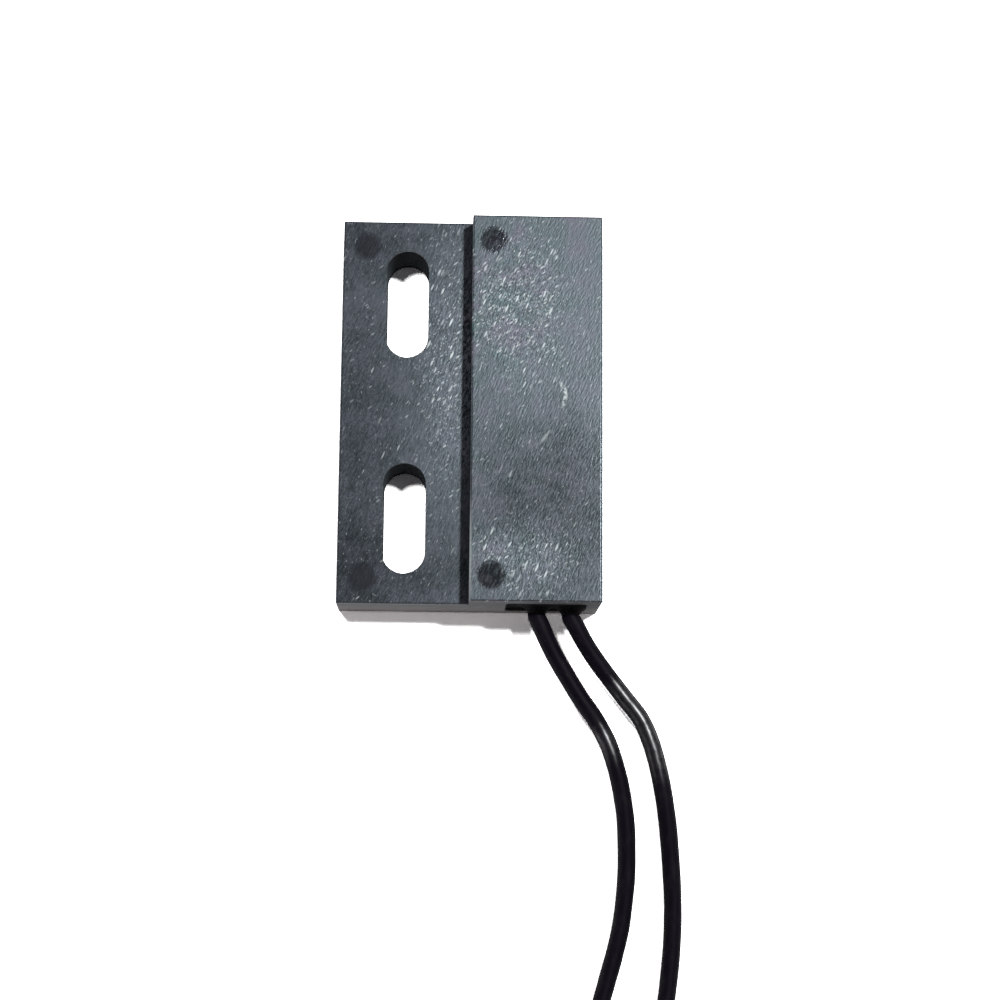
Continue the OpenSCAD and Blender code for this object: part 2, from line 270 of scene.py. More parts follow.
class NodeSheet:
    """A shader node tree that is filled one node at a time."""

    def __init__(self, tree: bpy.types.NodeTree) -> None:
        """Takes a tree and empties it.

        Args:
            tree: the tree of a material, a world or a group.
        """
        self.tree = tree
        tree.nodes.clear()

    def add(self, kind: str, sockets: Sockets | None = None, **options: object) -> bpy.types.Node:
        """Adds a node, sets its options and fills its inputs.

        Args:
            kind: the node's type.
            sockets: for an input's name or number, a value or the output that feeds it.
            options: settings of the node itself.

        Returns:
            The node.
        """
        node = self.tree.nodes.new(kind)
        for name, value in options.items():
            setattr(node, name, value)
        for key, value in (sockets or {}).items():
            if isinstance(value, Socket):
                self.tree.links.new(value, node.inputs[key])
            else:
                node.inputs[key].default_value = value
        return node

    def math(self, operation: str, a: object, b: object = 0.0) -> Socket:
        """Combines two numbers.

        Args:
            operation: the Math node's operation.
            a: first number or output.
            b: second number or output.

        Returns:
            The result's output.
        """
        return self.add("ShaderNodeMath", {0: a, 1: b}, operation=operation).outputs[0]

    def weigh(self, base: object, *terms: tuple[object, float]) -> Socket:
        """Adds weighted numbers to a first one.

        Args:
            base: the first number or output.
            terms: a number or output and its weight, for each one that is added.

        Returns:
            The sum's output.
        """
        total = base
        for value, weight in terms:
            total = self.math("ADD", total, self.math("MULTIPLY", value, weight))
        return total

    def product(self, first: object, *others: object) -> Socket:
        """Multiplies numbers, from left to right.

        Args:
            first: the first number or output.
            others: the numbers or outputs that multiply it.

        Returns:
            The product's output.
        """
        total = first
        for value in others:
            total = self.math("MULTIPLY", total, value)
        return total

    def vector(self, operation: str, a: object, b: object) -> Socket:
        """Combines two vectors.

        Args:
            operation: the Vector Math node's operation.
            a: first vector or output.
            b: second vector or output.

        Returns:
            The result's output.
        """
        return self.add("ShaderNodeVectorMath", {0: a, 1: b}, operation=operation).outputs[0]

    def length(self, vector: Socket) -> Socket:
        """Measures a vector."""
        return self.add("ShaderNodeVectorMath", {0: vector}, operation="LENGTH").outputs["Value"]

    def turn(self, vector: Socket, angle: object) -> Socket:
        """Turns a vector about Z by an angle."""
        sockets = {"Vector": vector, "Angle": angle}
        return self.add("ShaderNodeVectorRotate", sockets, rotation_type="Z_AXIS").outputs[0]

    def bump(self, height: Socket, strength: float, depth_mm: float) -> Socket:
        """Turns a height into a normal.

        Args:
            height: the height's output, from 0 to 1.
            strength: how much of the relief shows.
            depth_mm: depth of the relief.

        Returns:
            The normal's output.
        """
        sockets = {"Height": height, "Strength": strength, "Distance": depth_mm * MM}
        return self.add("ShaderNodeBump", sockets).outputs[0]

    def step(self, value: Socket, low: float, high: float, first: float = 0.0, last: float = 1.0) -> Socket:
        """Turns a number into a soft step.

        Args:
            value: the number.
            low: where the step starts.
            high: where it ends.
            first: its height before the start.
            last: its height after the end.

        Returns:
            The step's output.
        """
        sockets = {"Value": value, "From Min": low, "From Max": high, "To Min": first, "To Max": last}
        return self.add("ShaderNodeMapRange", sockets, interpolation_type="SMOOTHSTEP").outputs[0]

    def mix(self, share: object, a: object, b: object) -> Socket:
        """Mixes two colours.

        Args:
            share: how much of the second one.
            a: first colour or output.
            b: second colour or output.

        Returns:
            The mixed colour's output.
        """
        return self.add("ShaderNodeMix", {0: share, 6: a, 7: b}, data_type="RGBA").outputs[2]

    def place(self, group: bpy.types.NodeTree, sockets: Sockets) -> bpy.types.Node:
        """Puts a node group on the sheet.

        Args:
            group: the group.
            sockets: its inputs.

        Returns:
            The group's node.
        """
        return self.add("ShaderNodeGroup", sockets, node_tree=group)


class SurfaceEffects:
    """Node groups that more than one finish uses. Their places are in millimetres."""

    def __init__(self) -> None:
        """Builds every group once."""
        self.patch = self._patch()
        self.flecks = self._flecks("fibre_flecks", "2D")
        self.specks = self._flecks("dust_specks", "3D")
        self.grain = self._grain()
        self.scratch = self._scratch()

    @staticmethod
    def _open(
        name: str, inputs: list[tuple[str, str, object]], outputs: list[str]
    ) -> tuple[NodeSheet, bpy.types.Node, bpy.types.Node]:
        """Starts a group.

        Args:
            name: the group's name.
            inputs: name, socket kind and first value of each input.
            outputs: names of the outputs, which are all numbers.

        Returns:
            The group's sheet, its input node and its output node.
        """
        tree = bpy.data.node_groups.new(name, "ShaderNodeTree")
        for label, kind, value in inputs:
            socket = tree.interface.new_socket(name=label, in_out="INPUT", socket_type=kind)
            socket.default_value = value
        for label in outputs:
            tree.interface.new_socket(name=label, in_out="OUTPUT", socket_type="NodeSocketFloat")
        sheet = NodeSheet(tree)
        return sheet, sheet.add("NodeGroupInput"), sheet.add("NodeGroupOutput")

    def _patch(self) -> bpy.types.NodeTree:
        """Soft oval patch: 1 where the place is within the reach of the centre, 0 beyond it.

        Returns:
            The group.
        """
        inputs = [
            ("Place", "NodeSocketVector", (0.0, 0.0, 0.0)),
            ("Centre", "NodeSocketVector", (0.0, 0.0, 0.0)),
            ("Reach", "NodeSocketVector", (1.0, 1.0, 1.0)),
            ("Turn", "NodeSocketFloat", 0.0),
            ("Softness", "NodeSocketFloat", 0.5),
        ]
        sheet, given, answer = self._open("soft_patch", inputs, ["Mask"])
        off = sheet.vector("SUBTRACT", given.outputs["Place"], given.outputs["Centre"])
        turned = sheet.turn(off, given.outputs["Turn"])
        far = sheet.length(sheet.vector("DIVIDE", turned, given.outputs["Reach"]))
        inner = sheet.math("SUBTRACT", 1.0, given.outputs["Softness"])
        outer = sheet.math("ADD", 1.0, given.outputs["Softness"])
        sockets = {"Value": far, "From Min": inner, "From Max": outer, "To Min": 1.0, "To Max": 0.0}
        mask = sheet.add("ShaderNodeMapRange", sockets, interpolation_type="SMOOTHSTEP")
        sheet.tree.links.new(mask.outputs[0], answer.inputs["Mask"])
        return sheet.tree

    def _flecks(self, name: str, dimensions: str) -> bpy.types.NodeTree:
        """Short fibres or specks: one in some of the cells of a stretched pattern.

        Args:
            name: the group's name.
            dimensions: whether the cells lie on a level face or fill space.

        Returns:
            The group.
        """
        inputs = [
            ("Place", "NodeSocketVector", (0.0, 0.0, 0.0)),
            ("Turn", "NodeSocketFloat", 0.0),
            ("Cell", "NodeSocketVector", (0.2, 0.9, 0.2)),
            ("Size", "NodeSocketFloat", 0.3),
            ("Share", "NodeSocketFloat", 0.3),
        ]
        sheet, given, answer = self._open(name, inputs, ["Mask", "Tone"])
        turned = sheet.turn(given.outputs["Place"], given.outputs["Turn"])
        cells = sheet.vector("DIVIDE", turned, given.outputs["Cell"])
        sockets = {"Vector": cells, "Scale": 1.0}
        pattern = sheet.add("ShaderNodeTexVoronoi", sockets, voronoi_dimensions=dimensions)
        chance = sheet.add("ShaderNodeSeparateColor", {0: pattern.outputs["Color"]})
        there = sheet.math("LESS_THAN", chance.outputs[0], given.outputs["Share"])
        reach = sheet.math("MULTIPLY", given.outputs["Size"], sheet.math("ADD", chance.outputs[1], 0.45))
        near = sheet.math("DIVIDE", pattern.outputs["Distance"], reach)
        mask = sheet.math("MULTIPLY", there, sheet.step(near, 0.35, 1.0, 1.0, 0.0))
        sheet.tree.links.new(mask, answer.inputs["Mask"])
        sheet.tree.links.new(chance.outputs[2], answer.inputs["Tone"])
        return sheet.tree

    def _grain(self) -> bpy.types.NodeTree:
        """Even fine grain of a moulded or drawn surface, about 0.5, from noise of two sizes.

        Returns:
            The group.
        """
        inputs = [
            ("Place", "NodeSocketVector", (0.0, 0.0, 0.0)),
            ("Size", "NodeSocketVector", (0.2, 0.2, 0.2)),
        ]
        sheet, given, answer = self._open("fine_grain", inputs, ["Grain", "Height"])
        cells = sheet.vector("DIVIDE", given.outputs["Place"], given.outputs["Size"])
        coarse = sheet.add("ShaderNodeTexNoise", {"Vector": cells, "Scale": 1.0, "Detail": 2.0})
        fine = sheet.add("ShaderNodeTexNoise", {"Vector": cells, "Scale": 2.7, "Detail": 1.0})
        both = sheet.math("ADD", coarse.outputs[0], fine.outputs[0])
        sheet.tree.links.new(sheet.math("MULTIPLY", both, 0.5), answer.inputs["Grain"])
        sheet.tree.links.new(coarse.outputs[0], answer.inputs["Height"])
        return sheet.tree

    def _scratch(self) -> bpy.types.NodeTree:
        """A thin line on a circle about a centre, broken up by noise.

        Returns:
            The group.
        """
        inputs = [
            ("Place", "NodeSocketVector", (0.0, 0.0, 0.0)),
            ("Centre", "NodeSocketVector", (0.0, 0.0, 0.0)),
            ("Radius", "NodeSocketFloat", 1.0),
            ("Width", "NodeSocketFloat", 0.1),
        ]
        sheet, given, answer = self._open("thin_scratch", inputs, ["Mask"])
        off = sheet.vector("SUBTRACT", given.outputs["Place"], given.outputs["Centre"])
        far = sheet.length(off)
        away = sheet.math("ABSOLUTE", sheet.math("SUBTRACT", far, given.outputs["Radius"]))
        line = sheet.step(sheet.math("DIVIDE", away, given.outputs["Width"]), 0.3, 1.0, 1.0, 0.0)
        sockets = {"Vector": given.outputs["Place"], "Scale": 3.5, "Detail": 3.0}
        noise = sheet.add("ShaderNodeTexNoise", sockets)
        broken = sheet.step(noise.outputs[0], 0.38, 0.58)
        sheet.tree.links.new(sheet.math("MULTIPLY", line, broken), answer.inputs["Mask"])
        return sheet.tree


class PatternSpace(Enum):
    """Where a pattern takes its places from."""

    OBJECT = "object"
    STRAIGHTENED = "straightened"


def start_material(name: str, space: PatternSpace) -> tuple[bpy.types.Material, NodeSheet, Socket]:
    """Makes an empty material with places in millimetres.

    Args:
        name: the material's name.
        space: where the places come from.

    Returns:
        The material, its sheet and the output with the places.
    """
    material = bpy.data.materials.new(name)
    material.use_nodes = True
    sheet = NodeSheet(material.node_tree)
    if space is PatternSpace.OBJECT:
        source = sheet.add("ShaderNodeTexCoord").outputs["Object"]
    else:
        source = sheet.add("ShaderNodeAttribute", attribute_name=space.value).outputs["Vector"]
    place = sheet.add("ShaderNodeVectorMath", {0: source, "Scale": 1.0 / MM}, operation="SCALE").outputs[0]
    return material, sheet, place


def end_material(sheet: NodeSheet, sockets: Sockets) -> None:
    """Adds the surface shader and the output.

    Args:
        sheet: the material's sheet.
        sockets: inputs of the Principled shader.
    """
    shader = sheet.add("ShaderNodeBsdfPrincipled", sockets)
    sheet.add("ShaderNodeOutputMaterial", {"Surface": shader.outputs[0]})


@dataclass(frozen=True)
class MouldedPlastic:
    """Fibre filled dark plastic with a satin face, flecks, scuffs, dull pin marks and painted light.

    The painted light and shade: the block lighter than the flange, darker walls, a shadow strip on
    the flange beside the block, darker patches, a lighter foot on the end with the mouth and a
    highlight along the block's left top edge.

    Attributes:
        block: two colours of the block, between which it is cloudy; painted lighter than the flange's
            for the stronger light that the block's face catches.
        flange: two colours of the flange, between which it is cloudy; painted darker than the block's.
        end_face_painted_bounce: colours of the end with the mouth, at its top and at its foot; the lighter
            foot is
        painted light, for light bounced up from the floor.
        fibre: colour of the fibres near the surface.
        mark: colour of the moulding pins' marks.
        scuff_and_highlight: colour of the scuffs and of the painted highlight on the block's left top edge.
        gloss: tint of its shine.
        least_light: the darkest that its colour gets, as a share.
        least_relief: the least share of its relief.
        grain_mm: size of its grain, across and along the fibres.
        step_mm: height between the flange's face and the block's.
        flange_mm: height of the flange's face.
        block_mm: height of the block's face.
        end_mm: where the end with the mouth is.
        fibre_turn: direction of the fibres.
        marks_mm: centres of the moulding pins' marks.
        fibre_kinds: for each kind of fibre, its cell and its size in it, its share of the turn,
            the least share of cells that hold one, and how bright the brightest is.
        crowded_mm: centre, reach and strength of places where fibres crowd.
        shade_patches_mm: centre, reach and strength of patches painted darker, as shade where the gloss
            falls off;
        they are also smoother and flatter.
    """

    block: tuple[Color, Color] = ((0.036, 0.060, 0.062, 1.0), (0.066, 0.058, 0.080, 1.0))
    flange: tuple[Color, Color] = ((0.029, 0.037, 0.044, 1.0), (0.040, 0.040, 0.053, 1.0))
    end_face_painted_bounce: tuple[Color, Color] = ((0.068, 0.061, 0.065, 1.0), (0.25, 0.216, 0.212, 1.0))
    fibre: Color = (0.84, 0.90, 0.91, 1.0)
    mark: Color = (0.014, 0.014, 0.018, 1.0)
    scuff_and_highlight: Color = (0.5, 0.53, 0.53, 1.0)
    gloss: Color = (0.78, 0.915, 1.0, 1.0)
    least_light: float = 0.12
    least_relief: float = 0.08
    grain_mm: Point = (0.13, 0.46, 0.13)
    step_mm: float = 5.3
    flange_mm: float = 4.25
    block_mm: float = 6.35
    end_mm: float = -14.285
    fibre_turn: float = math.radians(24.0)
    marks_mm: tuple[Point, ...] = (
        (-7.725, 12.385, 4.25),
        (-7.725, -12.385, 4.25),
        (1.55, 12.385, 6.35),
        (1.55, -12.385, 6.35),
    )
    fibre_kinds: tuple[tuple[Point, float, float, float, float], ...] = (
        ((0.26, 1.10, 1.0), 0.28, 1.0, 0.06, 0.95),
        ((0.20, 0.62, 1.0), 0.30, 2.1, 0.06, 0.80),
        ((0.15, 0.27, 1.0), 0.36, 0.3, 0.16, 0.50),
    )
    crowded_mm: tuple[tuple[Point, Point, float], ...] = (
        ((3.4, 7.4, 6.35), (3.2, 5.0, 1.0), 0.60),
        ((3.7, -11.4, 6.35), (3.2, 2.4, 1.0), 0.40),
        ((-1.4, 3.5, 4.25), (2.0, 8.0, 1.0), 0.42),
    )
    shade_patches_mm: tuple[tuple[Point, Point, float], ...] = (
        ((-8.2, 12.6, 4.25), (4.2, 2.6, 1.0), 0.14),
        ((-7.0, -12.4, 4.25), (6.5, 3.6, 1.0), 0.18),
        ((-8.4, -3.5, 4.25), (2.6, 9.0, 1.0), 0.16),
        ((6.5, -9.0, 6.35), (6.5, 8.0, 1.0), 0.50),
        ((7.6, 2.0, 6.35), (2.8, 7.0, 1.0), 0.16),
        ((1.6, -1.0, 6.35), (2.2, 6.0, 1.0), 0.10),
    )

    def material(self, effects: SurfaceEffects) -> bpy.types.Material:
        """Builds the finish.

        Args:
            effects: the shared node groups.

        Returns:
            The material.
        """
        material, sheet, place = start_material("moulded_plastic", PatternSpace.OBJECT)
        crowd = self._patches(sheet, effects, place, self.crowded_mm)
        dim = self._patches(sheet, effects, place, self.shade_patches_mm)
        parts = sheet.add("ShaderNodeSeparateXYZ", {0: place})
        upper = sheet.step(parts.outputs[2], self.step_mm - 0.2, self.step_mm + 0.2)
        face = self._face(sheet, parts)
        upper = sheet.math("MULTIPLY", upper, face)
        leaning = sheet.turn(place, self.fibre_turn)
        grain = sheet.place(effects.grain, {"Place": leaning, "Size": self.grain_mm})
        sockets = {"Vector": place, "Scale": 0.45, "Detail": 5.0, "Roughness": 0.7}
        cloud = sheet.add("ShaderNodeTexNoise", sockets)
        speckle = sheet.step(grain.outputs["Grain"], 0.32, 0.68)
        tint = sheet.step(cloud.outputs[0], 0.34, 0.66)
        # painted shadow: a strip of the flange's face beside the block, darkened and kept free of fibres,
        # where the block's shadow falls
        painted_step_shadow = sheet.step(parts.outputs[0], -0.95, -0.6)
        painted_step_shadow = sheet.math("MULTIPLY", painted_step_shadow, sheet.math("SUBTRACT", face, upper))
        ends = sheet.step(parts.outputs[1], self.end_mm + 0.05, self.end_mm + 0.12, 1.0, 0.0)
        marks = self._marks(sheet, effects, place, grain.outputs["Height"])
        unmarked = sheet.math("SUBTRACT", 1.0, marks)
        outside_step_shadow = sheet.math("SUBTRACT", 1.0, painted_step_shadow)

        # painted light: one plastic in two tones, the block lighter than the flange for the light each face
        # catches
        body = sheet.mix(upper, sheet.mix(tint, *self.flange), sheet.mix(tint, *self.block))
        flaky = sheet.math("MULTIPLY", crowd, sheet.weigh(-2.4, (speckle, 6.0)))
        # painted shade: the dim patches take colour away where the lamps' gloss falls off
        light = sheet.weigh(0.52, (speckle, 0.6), (tint, 0.36), (flaky, 1.0), (dim, -1.2))
        # painted shade: the walls keep only 0.4 of the faces' colour, for the shade they stand in
        light = sheet.math("MULTIPLY", light, sheet.weigh(0.4, (face, 0.6)))
        light = sheet.math("MAXIMUM", sheet.weigh(light, (painted_step_shadow, -0.3)), self.least_light)
        shaded = sheet.add("ShaderNodeVectorMath", {0: body, "Scale": light}, operation="SCALE").outputs[0]
        # painted light: the end with the mouth turns lighter towards its foot, for light bounced up from the
        # floor
        foot = sheet.step(parts.outputs[2], 0.3, 4.5, 1.0, 0.0)
        ended = sheet.mix(ends, shaded, sheet.mix(foot, *self.end_face_painted_bounce))
        dull = sheet.mix(sheet.math("MULTIPLY", marks, 0.78), ended, self.mark)
        bright = self._fibres(sheet, effects, place, crowd)
        bright = sheet.product(bright, sheet.math("MULTIPLY", face, unmarked), outside_step_shadow)
        speckled = sheet.mix(bright, dull, self.fibre)
        # real scuffs, and a painted highlight along the block's left top edge, in one light colour
        scuffed_and_highlit = sheet.mix(self._scuffs_and_edge_highlight(sheet, effects, place), speckled, self.scuff_and_highlight)

        rough = sheet.weigh(0.265, (upper, 0.085), (speckle, 0.07), (tint, 0.03), (crowd, 0.14), (dim, -0.3))
        mark_rough = sheet.weigh(0.19, (upper, -0.08))
        smoother = sheet.math("SUBTRACT", rough, mark_rough)
        rough = sheet.math("SUBTRACT", rough, sheet.math("MULTIPLY", marks, smoother))
        wall = sheet.math("SUBTRACT", 1.0, face)
        rough = sheet.math("MAXIMUM", rough, sheet.math("MULTIPLY", sheet.weigh(1.0, (ends, -0.3)), wall))
        strength = sheet.weigh(0.28, (upper, 0.20), (crowd, 0.45), (dim, -0.45))
        strength = sheet.math("MAXIMUM", strength, self.least_relief)
        relief = sheet.math("MULTIPLY", sheet.weigh(grain.outputs["Height"], (bright, 0.5)), strength)
        end_material(
            sheet,
            {
                "Base Color": scuffed_and_highlit,
                "Roughness": rough,
                "Specular IOR Level": 0.96,
                "Specular Tint": self.gloss,
                "Normal": sheet.bump(relief, 1.0, 0.03),
            },
        )
        return material

    def _face(self, sheet: NodeSheet, parts: bpy.types.Node) -> Socket:
        """Tells the two level faces from the walls.

        Args:
            sheet: the material's sheet.
            parts: the node that splits a place into X, Y and Z.

        Returns:
            The output with 1 on the faces and 0 on the walls.
        """
        flange = sheet.step(parts.outputs[2], self.flange_mm - 0.22, self.flange_mm - 0.12)
        beside = sheet.step(parts.outputs[0], -0.06, -0.02, 1.0, 0.0)
        block = sheet.step(parts.outputs[2], self.block_mm - 0.22, self.block_mm - 0.12)
        return sheet.math("MAXIMUM", sheet.math("MULTIPLY", flange, beside), block)

    def _fibres(self, sheet: NodeSheet, effects: SurfaceEffects, place: Socket, crowd: Socket) -> Socket:
        """Lays long and short fibres and fine flakes, more of them where they crowd.

        Args:
            sheet: the material's sheet.
            effects: the shared node groups.
            place: places in millimetres.
            crowd: how much they crowd.

        Returns:
            The output with how bright the fibres are.
        """
        total: object = 0.0
        for cell, size, turn, least, most in self.fibre_kinds:
            sockets = {"Place": place, "Turn": self.fibre_turn * turn, "Cell": cell, "Size": size}
            sockets["Share"] = sheet.weigh(least, (crowd, 0.95))
            flecks = sheet.place(effects.flecks, sockets)
            tone = sheet.step(flecks.outputs["Tone"], 0.2, 1.1, 0.06, most)
            total = sheet.math("MAXIMUM", total, sheet.math("MULTIPLY", flecks.outputs["Mask"], tone))
        return sheet.math("MULTIPLY", total, sheet.math("ADD", 0.4, crowd))

    @staticmethod
    def _patches(
        sheet: NodeSheet,
        effects: SurfaceEffects,
        place: Socket,
        patches: tuple[tuple[Point, Point, float], ...],
    ) -> Socket:
        """Adds up soft patches.

        Args:
            sheet: the material's sheet.
            effects: the shared node groups.
            place: places in millimetres.
            patches: centre, reach and strength of each patch.

        Returns:
            The output with the sum.
        """
        terms: list[tuple[object, float]] = []
        for centre, reach, strength in patches:
            sockets = {"Place": place, "Centre": centre, "Reach": reach, "Softness": 0.75}
            terms.append((sheet.place(effects.patch, sockets).outputs[0], strength))
        return sheet.weigh(0.0, *terms)

    def _marks(self, sheet: NodeSheet, effects: SurfaceEffects, place: Socket, mottle: Socket) -> Socket:
        """Finds the moulding pins' marks, mottled and soft at their rims.

        Args:
            sheet: the material's sheet.
            effects: the shared node groups.
            place: places in millimetres.
            mottle: noise that breaks the marks up.

        Returns:
            The output with how strong the marks are.
        """
        marks: object = 0.0
        for centre in self.marks_mm:
            sockets = {"Place": place, "Centre": centre, "Reach": (1.0, 1.0, 0.6), "Softness": 0.3}
            marks = sheet.math("MAXIMUM", marks, sheet.place(effects.patch, sockets).outputs[0])
        return sheet.math("MULTIPLY", marks, sheet.step(mottle, 0.35, 0.65, 1.0, 0.84))

    @staticmethod
    def _scuffs_and_edge_highlight(sheet: NodeSheet, effects: SurfaceEffects, place: Socket) -> Socket:
        """Scuffs on the block, part of a circle and a short slanting rub, and a painted edge highlight.

        Args:
            sheet: the material's sheet.
            effects: the shared node groups.
            place: places in millimetres.

        Returns:
            The output with how strong the scuffs and the painted highlight are.
        """
        line = {"Place": place, "Centre": (5.55, 0.75, 6.35), "Radius": 1.28, "Width": 0.2}
        circle = sheet.place(effects.scratch, line).outputs[0]
        part = {"Place": place, "Centre": (6.75, 0.9, 6.35), "Reach": (0.5, 1.0, 0.5), "Softness": 0.4}
        arc = sheet.math("MULTIPLY", circle, sheet.place(effects.patch, part).outputs[0])
        slant = {"Place": place, "Centre": (5.36, -2.31, 6.35), "Reach": (0.09, 0.55, 0.4), "Softness": 0.6}
        slant["Turn"] = math.radians(35.0)
        rub = sheet.math("MULTIPLY", sheet.place(effects.patch, slant).outputs[0], 0.5)
        # painted highlight: a light line along the lower part of the block's left top edge
        painted_edge_highlight = {"Place": place, "Centre": (0.07, -11.0, 6.32), "Reach": (0.08, 3.4, 0.14), "Softness": 0.6}
        rim = sheet.math("MULTIPLY", sheet.place(effects.patch, painted_edge_highlight).outputs[0], 0.55)
        return sheet.math("MAXIMUM", sheet.math("MAXIMUM", arc, rub), rim)


@dataclass(frozen=True)
class PottingEpoxy:
    """Dark casting resin, dull, with fine dust in it and a slow waviness.

    Attributes:
        base: colour of the resin.
        dust: colour of the specks.
    """

    base: Color = (0.010, 0.009, 0.011, 1.0)
    dust: Color = (0.08, 0.08, 0.085, 1.0)

    def material(self, effects: SurfaceEffects) -> bpy.types.Material:
        """Builds the finish.

        Args:
            effects: the shared node groups.

        Returns:
            The material.
        """
        material, sheet, place = start_material("potting_epoxy", PatternSpace.OBJECT)
        grain = sheet.place(effects.grain, {"Place": place, "Size": (0.7, 0.7, 0.7)})
        dusty = {"Place": place, "Cell": (0.3, 0.3, 0.3), "Size": 0.2, "Share": 0.2}
        specks = sheet.place(effects.specks, dusty)
        color = sheet.mix(sheet.math("MULTIPLY", specks.outputs["Mask"], 0.5), self.base, self.dust)
        end_material(
            sheet,
            {
                "Base Color": color,
                "Roughness": sheet.weigh(0.55, (grain.outputs["Grain"], 0.3)),
                "Specular IOR Level": 0.06,
                "Normal": sheet.bump(grain.outputs["Height"], 0.3, 0.05),
            },
        )
        return material


@dataclass(frozen=True)
class LeadInsulation:
    """Soft black insulation with fine lines along it, a little dust and a shine where it is rubbed.

    Attributes:
        base: colour of the insulation.
        rubbed: colour where it is rubbed.
        dust: colour of the dust.
    """

    base: Color = (0.0048, 0.0034, 0.0072, 1.0)
    rubbed: Color = (0.0095, 0.0085, 0.0120, 1.0)
    dust: Color = (0.05, 0.05, 0.06, 1.0)

    def material(self, effects: SurfaceEffects, space: PatternSpace) -> bpy.types.Material:
        """Builds the finish.

        Args:
            effects: the shared node groups.
            space: where its pattern takes its places from.

        Returns:
            The material.
        """
        material, sheet, place = start_material(f"lead_insulation_{space.value}", space)
        lines = sheet.place(effects.grain, {"Place": place, "Size": (0.09, 0.09, 3.0)})
        cloud = sheet.place(effects.grain, {"Place": place, "Size": (0.9, 0.9, 2.6)})
        dusty = {"Place": place, "Cell": (0.24, 0.24, 0.4), "Size": 0.22, "Share": 0.1}
        specks = sheet.place(effects.specks, dusty)
        rub = sheet.math("MULTIPLY", sheet.step(cloud.outputs["Grain"], 0.45, 0.7), 0.8)
        body = sheet.mix(rub, self.base, self.rubbed)
        color = sheet.mix(sheet.math("MULTIPLY", specks.outputs["Mask"], 0.35), body, self.dust)
        spots = sheet.place(effects.grain, {"Place": place, "Size": (0.5, 0.5, 0.9)})
        patchy = sheet.step(spots.outputs["Grain"], 0.34, 0.58, 0.4, 1.0)
        rubbed = sheet.add("ShaderNodeAttribute", attribute_name=RUBBED).outputs["Fac"]
        end_material(
            sheet,
            {
                "Base Color": color,
                "Roughness": sheet.weigh(0.42, (cloud.outputs["Grain"], 0.2)),
                "Specular IOR Level": 0.08,
                "Coat Weight": sheet.math("MULTIPLY", rubbed, patchy),
                "Coat Roughness": 0.34,
                "Coat IOR": 1.9,
                "Normal": sheet.bump(lines.outputs["Height"], 0.12, 0.03),
            },
        )
        return material


@dataclass(frozen=True)
class MetalFinish:
    """How one metal looks.

    Attributes:
        slot: the record's slot.
        color: its clean colour.
        tarnish: its colour where it is dull.
        roughness: its gloss.
        grain_mm: size of its grain.
    """

    slot: str
    color: Color
    tarnish: Color
    roughness: float
    grain_mm: Point


class Metal(Enum):
    """The metals of the switch and its wires."""

    REED_ALLOY = MetalFinish(
        "reed_alloy", (0.53, 0.51, 0.47, 1.0), (0.33, 0.31, 0.28, 1.0), 0.30, (0.05, 0.8, 0.05)
    )
    BLADE_PLATING = MetalFinish(
        "blade_plating", (0.72, 0.71, 0.68, 1.0), (0.5, 0.49, 0.47, 1.0), 0.20, (0.06, 0.5, 0.06)
    )
    SOLDER = MetalFinish(
        "solder", (0.62, 0.62, 0.61, 1.0), (0.36, 0.36, 0.36, 1.0), 0.34, (0.25, 0.25, 0.25)
    )
    COPPER = MetalFinish(
        "copper", (0.80, 0.44, 0.25, 1.0), (0.38, 0.19, 0.11, 1.0), 0.30, (0.06, 0.9, 0.06)
    )
    TINNED_WIRE = MetalFinish(
        "tinned_wire", (0.66, 0.66, 0.65, 1.0), (0.42, 0.42, 0.41, 1.0), 0.28, (0.12, 0.5, 0.12)
    )

    def material(self, effects: SurfaceEffects) -> bpy.types.Material:
        """Builds the finish.

        Args:
            effects: the shared node groups.

        Returns:
            The material.
        """
        finish = self.value
        material, sheet, place = start_material(finish.slot, PatternSpace.OBJECT)
        grain = sheet.place(effects.grain, {"Place": place, "Size": finish.grain_mm})
        stain = sheet.place(effects.grain, {"Place": place, "Size": (0.8, 0.8, 0.8)})
        color = sheet.mix(sheet.step(stain.outputs["Grain"], 0.4, 0.7), finish.color, finish.tarnish)
        end_material(
            sheet,
            {
                "Base Color": color,
                "Metallic": 1.0,
                "Roughness": sheet.weigh(finish.roughness - 0.08, (grain.outputs["Grain"], 0.16)),
                "Normal": sheet.bump(grain.outputs["Height"], 0.2, 0.02),
            },
        )
        return material


@dataclass(frozen=True)
class SwitchGlass:
    """Green infrared absorbing glass of the capsule.

    Attributes:
        color: colour of the glass.
    """

    color: Color = (0.62, 0.86, 0.70, 1.0)

    def material(self, effects: SurfaceEffects) -> bpy.types.Material:
        """Builds the finish.

        Args:
            effects: the shared node groups.

        Returns:
            The material.
        """
        material, sheet, place = start_material("switch_glass", PatternSpace.OBJECT)
        wave = sheet.place(effects.grain, {"Place": place, "Size": (0.8, 2.5, 0.8)})
        end_material(
            sheet,
            {
                "Base Color": self.color,
                "Roughness": 0.03,
                "IOR": 1.5,
                "Transmission Weight": 1.0,
                "Normal": sheet.bump(wave.outputs["Height"], 0.15, 0.03),
            },
        )
        return material


